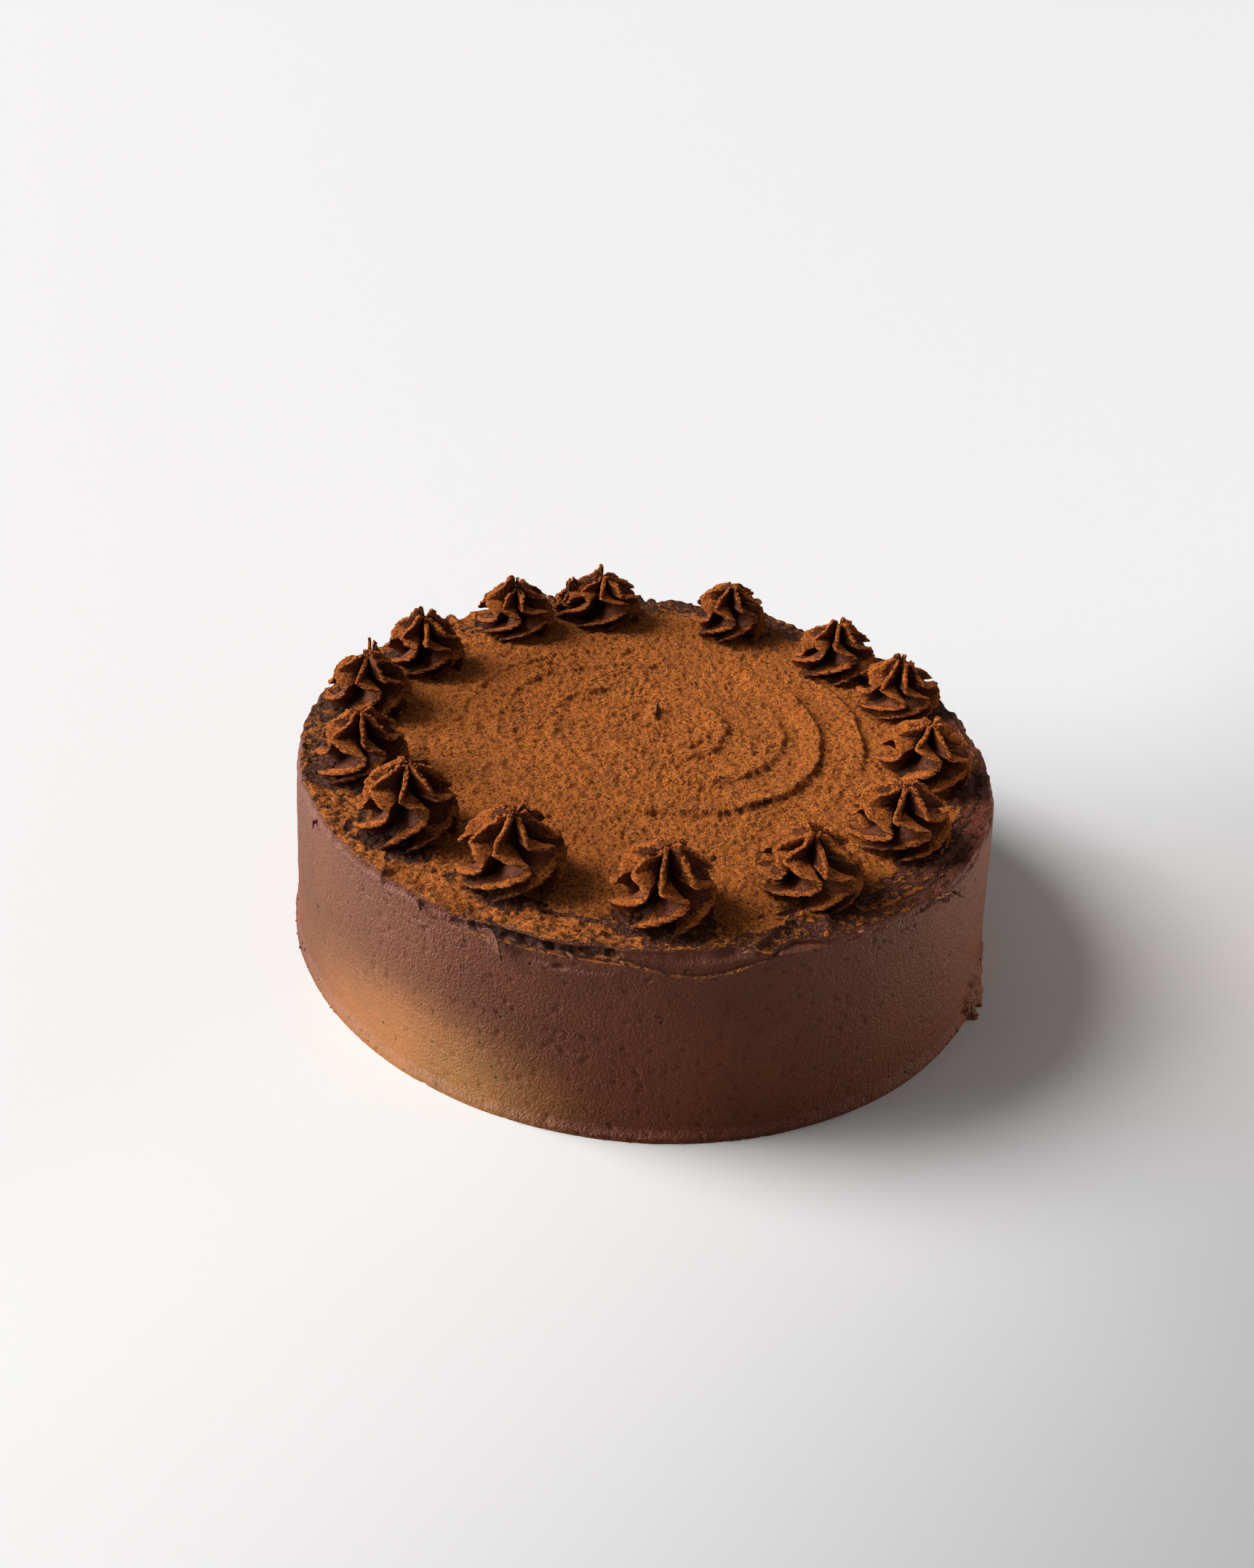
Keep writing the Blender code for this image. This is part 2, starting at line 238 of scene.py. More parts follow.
def around(table, degrees):
    """A value read from a table of (angle, value) that closes on itself."""
    angles, values = np.array(sorted(table), float).T
    return np.interp(degrees, angles, values, period=360.0)


def wall_radius(height):
    return np.interp(height, WALL_HEIGHTS, WALL_RADII)


def as_angle(degrees):
    """Degrees brought to between -180 and 180."""
    return (degrees + 180.0) % 360.0 - 180.0


def at_angle(degrees, radius):
    """The point at an angle and a distance from the axis."""
    return radius * math.cos(math.radians(degrees)), radius * math.sin(math.radians(degrees))


def along_line(table, degrees, blend=8.0):
    """The radius of a line of (angle, radius) points at each angle, and 1 along it, 0 past its ends."""
    angles, radii = np.array(table, float).T
    middle = (angles[0] + angles[-1]) / 2.0
    turned = as_angle(degrees - middle) + middle
    radius = np.interp(turned, angles, radii)
    share = smooth_step(angles[0], angles[0] + blend, turned) * (
        1.0 - smooth_step(angles[-1] - blend, angles[-1], turned)
    )
    return radius, share


def swirl_height(x, y):
    """The ridges that the palette knife left: each rises gently and drops at its outer side."""
    dx, dy = x - SWIRL_CENTRE[0], y - SWIRL_CENTRE[1]
    reach = np.hypot(dx, dy)
    degrees = np.degrees(np.arctan2(dy, dx))
    flat = np.stack([x, y, np.zeros_like(x)], -1)
    wander = 0.5 * soft_noise(flat, 9.0, 3) + 0.25 * soft_noise(flat, 3.0, 4)
    towards_light = smooth_step(-0.2, 0.8, np.cos(np.radians(degrees - 150.0)))
    height = np.zeros_like(x)
    for drop, softness, line in RIDGES:
        radius, share = along_line(line, degrees, 22.0)
        past = reach - radius + wander
        rise = smooth_step(-7.5 + 5.3 * towards_light, -0.2, past)
        fall = smooth_step(-0.3, 0.7 + 1.1 * softness, past) * (1.0 + 0.30 * smooth_step(6.0, 1.5, past))
        height += RIDGE_GROWTH * drop * share * (rise - fall)
    return height


def stroke_noise(x, y, width, length, seed):
    """Noise drawn out along arcs round the swirl's centre, as a spreading knife leaves it."""
    dx, dy = x - SWIRL_CENTRE[0], y - SWIRL_CENTRE[1]
    reach = np.hypot(dx, dy) + 0.001
    turns = 30.0 / length
    place = np.stack([dx / reach * turns, dy / reach * turns, reach / width], -1)
    return soft_noise(place, 1.0, seed)


def line_distance(x, y, start, end):
    """How far a point lies aside of and beyond a straight line, and its share of the way along."""
    sx, sy = start
    ex, ey = end[0] - sx, end[1] - sy
    share = np.clip(((x - sx) * ex + (y - sy) * ey) / (ex * ex + ey * ey), 0.0, 1.0)
    return x - sx - ex * share, y - sy - ey * share, share


def top_height(x, y):
    """Height of the top over its flat level, before the cocoa's own grain."""
    radius = np.hypot(x, y)
    degrees = np.degrees(np.arctan2(y, x))
    flat = np.stack([x, y, np.zeros_like(x)], -1)
    height = swirl_height(x, y) * (1.0 - smooth_step(66.0, 72.0, radius))
    height += 0.17 * stroke_noise(x, y, 1.7, 15.0, 5) * (1.0 - 0.5 * smooth_step(66.0, 80.0, radius))
    height += 0.22 * soft_noise(flat, 26.0, 6) + 0.10 * soft_noise(flat, 9.0, 7)
    aside, ahead, share = line_distance(x, y, *PEAK_LINE)
    flank = np.where(aside > 0.0, smooth_step(0.6, 0.0, aside), smooth_step(-4.2, 0.0, aside))
    low, high = PEAK_HEIGHTS
    height += (low + (high - low) * share) * flank * np.exp(-(ahead / 1.3) ** 2)
    for mx, my, half_length, half_width, direction, depth in TOP_MARKS:
        c, s = math.cos(math.radians(direction)), math.sin(math.radians(direction))
        u = ((x - mx) * c + (y - my) * s) / half_length
        v = (-(x - mx) * s + (y - my) * c) / half_width
        height -= depth * np.exp(-(u ** 4) - v ** 2)
    for depth, line in CRACKS:
        line_radius, share = along_line(line, degrees, 4.0)
        apart = radius - line_radius + 0.5 * soft_noise(flat, 3.0, 8)
        height -= depth * share * np.exp(-(apart / 0.5) ** 2)
        height += 0.35 * share * np.exp(-((apart + 1.2) / 1.0) ** 2)
    rough = smooth_step(84.0, 95.0, radius)
    height += rough * (0.24 * soft_noise(flat, 6.0, 9) + 0.10 * soft_noise(flat, 2.6, 10))
    return height


def peeled_edge(x, y):
    """The raised curl, the groove beside it and the lifted chunk right of the front."""
    radius = np.hypot(x, y)
    degrees = np.degrees(np.arctan2(y, x))
    curl_radius, share = along_line(CURL_LINE, degrees, 2.0)
    apart = radius - curl_radius
    height = 1.3 * share * np.exp(-((apart + 0.5) / 1.0) ** 2)
    height -= 0.5 * share * np.exp(-((apart - 1.6) / 0.7) ** 2)
    cx, cy = at_angle(*CHUNK_AT)
    away = np.maximum(np.abs(x - cx) / CHUNK_HALF_SIZE[0], np.abs(y - cy) / CHUNK_HALF_SIZE[1])
    return height + CHUNK_LIFT * smooth_step(1.15, 0.75, away)


def top_disc():
    """Square grid bent into a disc: its points, its faces, and its outer ring in order of angle."""
    steps = np.arange(-HALF_GRID, HALF_GRID + 1) / HALF_GRID
    a, b = np.meshgrid(steps, steps, indexing="ij")
    wide = np.abs(a) >= np.abs(b)
    with np.errstate(divide="ignore", invalid="ignore"):
        angle = np.where(wide, math.pi / 4 * b / a, math.pi / 2 - math.pi / 4 * a / b)
    angle = np.nan_to_num(angle)
    reach = np.where(wide, a, b) * FLAT_RADIUS
    x, y = reach * np.cos(angle), reach * np.sin(angle)
    side = 2 * HALF_GRID + 1
    index = np.arange(side * side).reshape(side, side)
    faces = np.stack([index[:-1, :-1], index[1:, :-1], index[1:, 1:], index[:-1, 1:]], -1).reshape(-1, 4)
    border = np.concatenate([index[0], index[-1], index[1:-1, 0], index[1:-1, -1]])
    turn = np.arctan2(y.ravel()[border], x.ravel()[border])
    ring = border[np.argsort(turn)]
    return x.ravel(), y.ravel(), faces, ring


def edge_rows(angles):
    """Radius and height of each row of the edge, from the flat top over the edge and down the wall."""
    degrees = np.degrees(angles)
    rim = np.stack([np.cos(angles), np.sin(angles), np.zeros_like(angles)], -1) * RIM_RADIUS
    jag = soft_noise(rim, 2.2, 11) * 0.35 + soft_noise(rim, 5.5, 12) * 0.35
    nick = smooth_step(0.55, 1.0, soft_noise(rim, 3.6, 13))
    calm = 1.0 - 0.75 * smooth_step(-122, -112, degrees) * (1.0 - smooth_step(-62, -52, degrees))
    broken = smooth_step(-20, 10, degrees) * (1.0 - smooth_step(150, 175, degrees))
    chunk = smooth_step(-0.12, 0.12, soft_noise(rim, 6.5, 17)) - 0.5
    jag = jag * (1.0 + 0.8 * broken) + 1.5 * broken * chunk
    edge_z = around(EDGE_HEIGHTS, degrees) + calm * (0.55 * jag - 0.9 * nick) + 0.1 * jag
    edge_r = around(EDGE_RADII, degrees) + 0.30 * soft_noise(rim, 3.0, 14) - 0.5 * calm * nick
    ledge_z = around(LEDGE_HEIGHTS, degrees) + 0.12 * soft_noise(rim, 2.0, 15)
    recess = around(LEDGE_DEPTHS, degrees)
    tear = around(TEAR_DEPTHS, degrees) * (1.0 + 0.25 * soft_noise(rim, 2.4, 16))
    open_share = smooth_step(0.0, 1.2, tear)
    rows = []
    inner = edge_r - 1.3
    for share in np.linspace(0.0, 1.0, 33):
        r = FLAT_RADIUS + (inner - FLAT_RADIUS) * share
        z = CAKE_HEIGHT + (edge_z - CAKE_HEIGHT) * smooth_step(0.45, 1.0, share)
        rows.append((r, z + np.zeros_like(r), 1.0))
    for out, down in ((-0.85, 0.0), (-0.40, 0.05), (-0.10, 0.20), (0.0, 0.45), (-0.06, 0.72)):
        rows.append((edge_r + out, edge_z - down, 0.35))
    lower_r = wall_radius(ledge_z) - recess
    start_z, end_z = edge_z - 0.95, ledge_z + 0.40
    hollow = (
        (0.25, 0.02), (0.62, 0.05), (0.90, 0.10), (1.00, 0.20), (1.00, 0.33), (0.94, 0.45),
        (0.86, 0.56), (0.76, 0.66), (0.64, 0.76), (0.50, 0.85), (0.34, 0.92), (0.16, 0.97), (0.0, 1.0),
    )
    for step, (inward, share) in enumerate(hollow, 1):
        plain_r = edge_r - 0.02 + (lower_r - edge_r) * smooth_step(0.0, 0.6, share)
        even = step / len(hollow)
        z_share = even + (share - even) * open_share
        rows.append((plain_r - tear * inward, start_z + (end_z - start_z) * z_share, 0.0))
    wall_out = wall_radius(ledge_z) + 0.16 * smooth_step(0.1, 0.6, recess)
    for out, down in ((0.0, -0.22), (0.15, -0.06), (0.72, -0.01), (0.97, 0.10), (1.0, 0.34)):
        rows.append((lower_r + (wall_out - lower_r) * out, ledge_z - down, 0.0))
    first_z = ledge_z - 0.34
    for share in np.linspace(0.0, 1.0, 19)[1:]:
        z = first_z + (SEAM_HEIGHT - first_z) * share
        fade = 1.0 - smooth_step(0.0, 0.5, share)
        rows.append((wall_radius(z) + (wall_out - wall_radius(ledge_z)) * fade, z, 0.0))
    return rows


def wall_rows():
    """Heights of the rows of the wall, from the seam down to the foot."""
    upper = np.linspace(SEAM_HEIGHT, FOOT_BAND, 62)[1:]
    lower = np.linspace(FOOT_BAND, 0.0, 19)[1:]
    return np.concatenate([upper, lower])


def ring_faces(upper, lower):
    """Faces between two rings of the same number of points, facing out when upper is above."""
    return np.stack([upper, lower, np.roll(lower, -1), np.roll(upper, -1)], -1)


def point_normals(points, faces):
    first = points[faces[:, 2]] - points[faces[:, 0]]
    second = points[faces[:, 3]] - points[faces[:, 1]]
    across = np.cross(first, second)
    total = np.zeros_like(points)
    for corner in range(4):
        for axis in range(3):
            total[:, axis] += np.bincount(faces[:, corner], across[:, axis], len(points))
    return total / np.maximum(np.linalg.norm(total, axis=1, keepdims=True), 1e-12)


def lean_with_top(points):
    share = np.clip(points[:, 2:3] / CAKE_HEIGHT, 0.0, 1.0)
    return points + np.concatenate([share * TOP_LEAN, np.zeros_like(share)], 1)


def rosette_distance(x, y):
    """Distance to the nearest rosette's axis, as a share of its radius."""
    nearest = np.full(x.shape, 99.0)
    for spec in ROSETTES:
        cx, cy = at_angle(*spec[:2])
        nearest = np.minimum(nearest, np.hypot(x - cx, y - cy) / spec[2])
    return nearest


class SkyMap:
    """The highest point over each small square of the top, to tell what the falling cocoa reaches."""

    CELL = 0.6
    HALF = 110.0

    def __init__(self, points):
        self.size = int(2 * self.HALF / self.CELL)
        self.high = np.full((self.size, self.size), -1.0)
        i, j = self.square(points)
        np.maximum.at(self.high, (i, j), points[:, 2])

    def square(self, points):
        place = ((points[:, :2] + self.HALF) / self.CELL).astype(int)
        place = np.clip(place, 0, self.size - 1)
        return place[:, 0], place[:, 1]

    def open_to(self, points, slack):
        """1 where nothing stands more than slack over a point, softened over the squares near it."""
        total = 0.0
        for dx in (-1, 0, 1):
            for dy in (-1, 0, 1):
                moved = points[:, :2] + np.array([dx, dy]) * self.CELL * 1.3
                i, j = self.square(np.concatenate([moved, points[:, 2:]], 1))
                total = total + 1.0 - smooth_step(slack, slack + 1.2, self.high[i, j] - points[:, 2])
        return total / 9.0


def rib_curve(share, column):
    """A smooth curve through one column of the stations."""
    at, values = RIB_STATIONS[:, 0], RIB_STATIONS[:, column]
    slopes = np.gradient(values, at)
    index = np.clip(np.searchsorted(at, share, side="right") - 1, 0, len(at) - 2)
    width = at[index + 1] - at[index]
    t = (share - at[index]) / width
    return (
        (2 * t**3 - 3 * t**2 + 1) * values[index]
        + (t**3 - 2 * t**2 + t) * width * slopes[index]
        + (3 * t**2 - 2 * t**3) * values[index + 1]
        + (t**3 - t**2) * width * slopes[index + 1]
    )


def rib_swing(share, shift, first, last, lean):
    """The angle that a rib's rim has turned by: it turns sharply one way, then sweeps far back."""
    drift = -lean * smooth_step(0.08, 0.40, share)
    turn = (first + lean) * smooth_step(0.43 + shift, 0.57 + shift, share)
    return drift + turn - (first + last) * smooth_step(0.59 + shift, 1.02, share)


def rib_section():
    """Points across one rib, from its root up one flank, over the rim and down the other."""
    flank, rim = 11, 7
    up = [(-1.0, (step + 0.5) / flank * 0.95) for step in range(flank)]
    turns = [((step + 0.5) / rim - 0.5) * math.pi for step in range(rim)]
    over = [(math.sin(turn), 0.95 + 0.05 * math.cos(turn)) for turn in turns]
    down = [(1.0, rho) for _, rho in reversed(up)]
    return up + over + down


def rosette_mesh(spec, seed):
    """Points and faces of one rosette: thin curled ribs round a narrow core."""
    _, _, radius, height, turn = spec
    draw = np.random.default_rng(seed)
    ribs = [
        {
            "angle": math.radians(turn) + RIB_SPACING * (index + draw.uniform(-0.09, 0.09)),
            "reach": draw.uniform(0.92, 1.0),
            "first": 0.66 * draw.uniform(0.65, 1.25),
            "last": 0.74 * draw.uniform(0.70, 1.20),
            "lean": draw.uniform(0.02, 0.22),
            "shift": draw.uniform(-0.05, 0.06),
            "tip": draw.uniform(-1.2, 1.9 + 0.4 * (19.0 - height)),
            "wave": draw.uniform(0.0, math.tau, 3),
        }
        for index in range(RIB_COUNT)
    ]
    fine = np.linspace(0.0, 1.0, 600)
    path_r, path_z = radius * rib_curve(fine, 2), height * rib_curve(fine, 1)
    path_a = rib_swing(fine, 0.0, 0.52, 0.70, 0.12)
    step = np.hypot(np.hypot(np.diff(path_r), np.diff(path_z)), path_r[1:] * np.diff(path_a))
    length = np.concatenate([[0.0], np.cumsum(step)])
    share = np.interp(np.linspace(0.0, length[-1], ROSETTE_ROWS), length, fine)
    row_z = height * rib_curve(share, 1)
    row_r = radius * rib_curve(share, 2)
    row_c = radius * rib_curve(share, 3)
    drop = np.maximum(np.hypot(np.gradient(row_r), np.gradient(row_z)), 1e-6)
    dip = CORE_DIP * np.exp(-((share / 0.08) ** 2))

    def line(rib, rho):
        swing = rib_swing(share, rib["shift"], rib["first"], rib["last"], rib["lean"])
        swing = swing + 0.05 * np.sin(9.0 * share + rib["wave"][0])
        return rib["angle"] + swing * (0.35 + 0.65 * rho ** 1.2)

    columns, rims = [], []
    for index, rib in enumerate(ribs):
        rim_line = line(rib, 1.0)
        sideways = np.abs(np.gradient(rim_line)) * row_r
        wider = np.minimum(np.hypot(1.0, sideways / drop), 2.4)
        along = share * length[-1]
        flutter = 0.20 * np.sin(along * 2.6 + rib["wave"][1])
        flutter = flutter + 0.16 * draw.uniform(-1.0, 1.0, ROSETTE_ROWS)
        flutter = flutter + 0.12 * np.sin(along * 6.1 + rib["wave"][2])
        torn = np.repeat(draw.uniform(-0.5, 0.5, ROSETTE_ROWS // 2 + 1), 2)[:ROSETTE_ROWS]
        torn = torn * np.exp(-((share / 0.24) ** 2))
        for side, rho in rib_section():
            reach = row_r * rib["reach"] + flutter * smooth_step(0.8, 1.0, rho)
            r = row_c + (reach - row_c) * rho
            half = (ROOT_THICKNESS + (RIM_THICKNESS - ROOT_THICKNESS) * rho) * wider / 2.0
            half = np.minimum(half, WIDEST_RIB * RIB_SPACING * r)
            angle = line(rib, rho) + side * half / np.maximum(r, 0.05)
            tip = rib["tip"] * np.exp(-(((share - 0.10) / 0.075) ** 2)) + torn
            tip = tip * smooth_step(0.25, 0.9, rho)
            sink = dip * (1.0 - smooth_step(0.1, 0.7, rho))
            columns.append(np.stack([r * np.cos(angle), r * np.sin(angle), row_z + tip + sink], -1))
            rims.append(rho)
        following = ribs[(index + 1) % RIB_COUNT]
        root = np.minimum(HALF_ROOT * wider / np.maximum(row_c, 0.05), WIDEST_ROOT * RIB_SPACING)
        gap_start = line(rib, 0.0) + root
        gap_end = line(following, 0.0) - root + (math.tau if index == RIB_COUNT - 1 else 0.0)
        for part in (0.25, 0.5, 0.75):
            angle = gap_start + (gap_end - gap_start) * part
            columns.append(np.stack([row_c * np.cos(angle), row_c * np.sin(angle), row_z + dip], -1))
            rims.append(0.0)
    grid = np.stack(columns, 1)
    index = np.arange(len(grid) * len(columns)).reshape(len(grid), len(columns))
    faces = np.concatenate([ring_faces(upper, lower) for upper, lower in zip(index, index[1:])])
    caps = [index[0], index[-1][::-1]]
    return grid.reshape(-1, 3), faces, caps, np.tile(rims, len(grid))


def add_object(name, data):
    thing = bpy.data.objects.new(name, data)
    bpy.context.scene.collection.objects.link(thing)
    return thing


def set_mark(mesh, mark, values):
    mesh.attributes.new(mark, "FLOAT", "POINT").data.foreach_set("value", values.astype(np.float32))


def make_piece(name, points, faces, caps, material, marks, normals=None):
    """A mesh object from points in millimetres, four-cornered faces and many-cornered caps."""
    mesh = bpy.data.meshes.new(name)
    loops = np.concatenate([faces.ravel(), *caps])
    sizes = np.concatenate([np.full(len(faces), 4), [len(cap) for cap in caps]]).astype(int)
    mesh.vertices.add(len(points))
    mesh.vertices.foreach_set("co", (points * MM).astype(np.float32).ravel())
    mesh.loops.add(len(loops))
    mesh.loops.foreach_set("vertex_index", loops.astype(np.int32))
    mesh.polygons.add(len(sizes))
    mesh.polygons.foreach_set("loop_start", np.concatenate([[0], np.cumsum(sizes)[:-1]]).astype(np.int32))
    mesh.update(calc_edges=True)
    mesh.shade_smooth()
    if normals is not None:
        mesh.normals_split_custom_set_from_vertices(normals)
    for mark, values in marks.items():
        set_mark(mesh, mark, values)
    mesh.materials.append(material)
    return add_object(name, mesh)


def rest_on_cake(piece, slot, *nodes):
    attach(piece, "root")
    if nodes:
        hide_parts(*nodes)


def compact(points, faces, caps, *arrays):
    """Keeps only the points that the faces use."""
    used = np.unique(np.concatenate([faces.ravel(), *caps]))
    place = np.full(len(points), -1)
    place[used] = np.arange(len(used))
    return points[used], place[faces], [place[cap] for cap in caps], [array[used] for array in arrays]


def wall_relief(points, degrees):
    """How far the wall stands out from its turned shape, in millimetres."""
    height = points[:, 2]
    slow = 0.28 * soft_noise(points * np.array([1, 1, 0.6]), 34.0, 20)
    angle = np.radians(degrees)
    reach = WALL_RADII[-2] / STROKE_LENGTH
    stroke_place = np.stack([reach * np.cos(angle), reach * np.sin(angle), height], -1)
    strokes = 0.065 * soft_noise(stroke_place, 1.3, 21) + 0.045 * soft_noise(stroke_place, 0.7, 22)
    pits = -0.42 * smooth_step(1.05, 1.30, soft_noise(points * np.array([1, 1, 1.6]), 1.7, 23))
    foot = smooth_step(5.0, 0.8, height) * (
        0.16 * soft_noise(points, 3.4, 24) + 0.13 * soft_noise(points, 1.6, 25)
    )
    lump = smooth_step(5.2, 3.2, np.abs(as_angle(degrees - LUMP_AT)) + 0.8 * soft_noise(points, 3.0, 26))
    lump = lump * (1.0 - smooth_step(9.5, 13.0, height + 1.5 * soft_noise(points, 2.5, 27)))
    lump = lump * (1.7 + 1.1 * soft_noise(points, 2.2, 28))
    return slow * smooth_step(0.0, 6.0, height) + strokes + pits + foot * smooth_step(0.0, 1.2, height) + lump


def skin_net():
    """The skin as one net: its points, what lies on top and over the rim, faces by piece, three rings."""
    x, y, disc_faces, ring = top_disc()
    disc = np.stack([x, y, CAKE_HEIGHT + top_height(x, y)], -1)
    angles = np.arctan2(y[ring], x[ring])
    points, is_top, over_rim, rows = [disc], [np.ones(len(disc))], [np.ones(len(disc))], [ring]

    def add_row(px, py, z, top_share, rim_share):
        rows.append(np.arange(COLUMNS) + sum(map(len, points)))
        points.append(np.stack([px, py, z + np.zeros(COLUMNS)], -1))
        is_top.append(np.full(COLUMNS, top_share))
        over_rim.append(np.full(COLUMNS, rim_share))

    for r, z, level in edge_rows(angles)[1:]:
        px, py = r * np.cos(angles), r * np.sin(angles)
        if level > 0.0:
            lift = (top_height(px, py) + peeled_edge(px, py)) * level
            z = z + lift * (1.0 - 0.6 * smooth_step(96.5, 99.5, r))
        add_row(px, py, z, float(level == 1.0), float(level > 0.0))
    seam = len(rows) - 1
    for height in wall_rows():
        r = wall_radius(height)
        add_row(r * np.cos(angles), r * np.sin(angles), height, 0.0, 0.0)
    bands = [ring_faces(upper, lower) for upper, lower in zip(rows, rows[1:])]
    faces = {
        "top": disc_faces,
        "edge": np.concatenate(bands[:seam]),
        "wall": np.concatenate(bands[seam:]),
    }
    rings = (ring, rows[seam], rows[-1])
    return np.concatenate(points), np.concatenate(is_top), np.concatenate(over_rim), faces, rings


def bare_share(points, radius, degrees):
    """How much cocoa is missing from the outer band of the top and round the rosettes' feet."""
    near = rosette_distance(points[:, 0], points[:, 1])
    uneven = soft_noise(points, 4.0, 34)
    round_feet = smooth_step(1.22, 1.0, near + 0.16 * uneven) * smooth_step(80.0, 88.0, radius + 3.0 * uneven)
    streaks = 0.5 + 0.5 * stroke_noise(points[:, 0], points[:, 1], 1.1, 9.0, 37)
    thin = smooth_step(84.0, 92.0, radius + 2.5 * uneven) * around(THIN_COCOA, degrees)
    thin = thin * np.clip(0.45 + 0.75 * streaks, 0.0, 1.0)
    return np.maximum(0.45 * round_feet, thin)


def skin_relief(points, radius, degrees, in_tear, covered, grain):
    """How far each point of the skin stands out: cocoa grain, torn frosting, wall, patch and hole."""
    height = points[:, 2]
    coarse = soft_noise(points, 2.8, 32)
    pock = smooth_step(0.75, 1.15, soft_noise(points, 1.5, 33))
    amount = (0.44 * grain + 0.17 * coarse - 0.38 * pock) * covered
    amount = amount + in_tear * (0.55 * soft_noise(points, 1.6, 35) + 0.3 * soft_noise(points, 0.8, 36))
    on_wall = (radius > 97.0) & (height < 54.0) & ~in_tear
    amount = amount + on_wall * wall_relief(points, degrees) * smooth_step(55.0, 52.0, height)
    patch_z, patch = along_line(PATCH_HEIGHTS, degrees, 2.5)
    patch = patch * smooth_step(0.25, -0.25, height - patch_z) * smooth_step(44.0, 47.5, height)
    across = as_angle(degrees - HOLE_AT) / HOLE_HALF_DEGREES
    hole = np.exp(-(across ** 4) - ((height - HOLE_HEIGHT) / 0.45) ** 2)
    return amount + on_wall * PATCH_STEP * patch - HOLE_DEPTH * hole


def frosting():
    """The finished skin of the cake: points, normals, marks, faces by piece and its three rings."""
    points, is_top, over_rim, faces, rings = skin_net()
    skin_faces = np.concatenate(list(faces.values()))
    normals = point_normals(points, skin_faces)
    radius = np.hypot(points[:, 0], points[:, 1])
    degrees = np.degrees(np.arctan2(points[:, 1], points[:, 0]))
    grain = 0.62 * soft_noise(points, 1.35, 30) + 0.38 * soft_noise(points, 0.85, 31)
    bare = bare_share(points, radius, degrees)
    dust = smooth_step(0.45, 0.8, normals[:, 2]) * (1.0 - bare)
    tear = around(TEAR_DEPTHS, degrees)
    in_tear = (tear > 0.4) & (points[:, 2] > TEAR_LOW) & (points[:, 2] < TEAR_HIGH) & (radius > 94.0)
    covered = is_top * (0.25 + 0.75 * dust)
    amount = skin_relief(points, radius, degrees, in_tear, covered, grain)
    points = points + normals * amount[:, None]
    points[rings[-1], 2] = 0.0
    points = lean_with_top(points)
    normals = point_normals(points, skin_faces)

    height, upward = points[:, 2], normals[:, 2]
    rim_dust = 0.8 * smooth_step(0.55, 0.85, upward) * (height > 44.0)
    rim_dust = rim_dust * np.maximum(over_rim, around(LEDGE_COCOA, degrees))
    near_lip = smooth_step(0.55, 0.25, np.abs(height - around(LEDGE_HEIGHTS, degrees)))
    lip_dust = 0.62 * near_lip * smooth_step(0.25, 0.6, upward) * (1.0 - over_rim)
    dust = np.maximum(dust * is_top, rim_dust) * (1.0 - bare * over_rim)
    dust = np.maximum(dust, lip_dust) * (height > 40.0)
    dust = np.clip(dust + 0.12 * grain * (dust > 0.05), 0.0, 1.0)
    # Painted shade inside the tear, darkening the hollow beneath the rim
    painted_shade = 0.60 * smooth_step(0.4, 1.2, tear) * in_tear * (radius < 98.6)
    crumbs = 0.6 * smooth_step(3.0, 0.6, height) + 0.10 * is_top * smooth_step(84.0, 92.0, radius)
    crumbs = crumbs + 0.6 * in_tear * smooth_step(-99, -97, degrees) * smooth_step(-90, -92, degrees)
    marks = {"dust": dust, "painted_shade": painted_shade, "crumbs": crumbs + 0.006 * is_top, "over_rim": over_rim}
    return points, normals, marks, faces, rings


# Node helpers
def feed(tree, node, inputs):
    """Fills a node's inputs from {name or number: a value, or another node's output to link}."""
    for key, value in inputs.items():
        socket = node.inputs[key]
        if isinstance(value, bpy.types.NodeSocket):
            tree.links.new(value, socket)
        elif socket.type == "RGBA":
            socket.default_value = (*value, 1.0)
        else:
            socket.default_value = value


def add_node(tree, kind, inputs=None, **settings):
    node = tree.nodes.new(kind)
    for key, value in settings.items():
        setattr(node, key, value)
    feed(tree, node, inputs or {})
    return node


def open_group(name, inputs, outputs):
    """A shader group with named sockets: inputs as {name: default}, outputs as {name: kind}."""
    tree = bpy.data.node_groups.new(name, "ShaderNodeTree")
    for label, default in inputs.items():
        colour = isinstance(default, tuple)
        kind = "NodeSocketColor" if colour else "NodeSocketFloat"
        socket = tree.interface.new_socket(label, in_out="INPUT", socket_type=kind)
        socket.default_value = (*default, 1.0) if colour else default
    for label, kind in outputs.items():
        tree.interface.new_socket(label, in_out="OUTPUT", socket_type=kind)
    return tree, add_node(tree, "NodeGroupInput").outputs, add_node(tree, "NodeGroupOutput")


def open_material(name):
    material = bpy.data.materials.new(name)
    material.use_nodes = True
    return material, material.node_tree, material.node_tree.nodes["Principled BSDF"]


def own_coordinates(tree):
    return add_node(tree, "ShaderNodeTexCoord").outputs["Object"]


def mesh_mark(tree, name):
    node = add_node(tree, "ShaderNodeAttribute", attribute_name=name, attribute_type="GEOMETRY")
    return node.outputs["Fac"]


def noise_at(tree, coordinates, scale, detail, roughness=0.5):
    inputs = {"Vector": coordinates, "Scale": scale, "Detail": detail, "Roughness": roughness}
    return add_node(tree, "ShaderNodeTexNoise", inputs).outputs["Fac"]


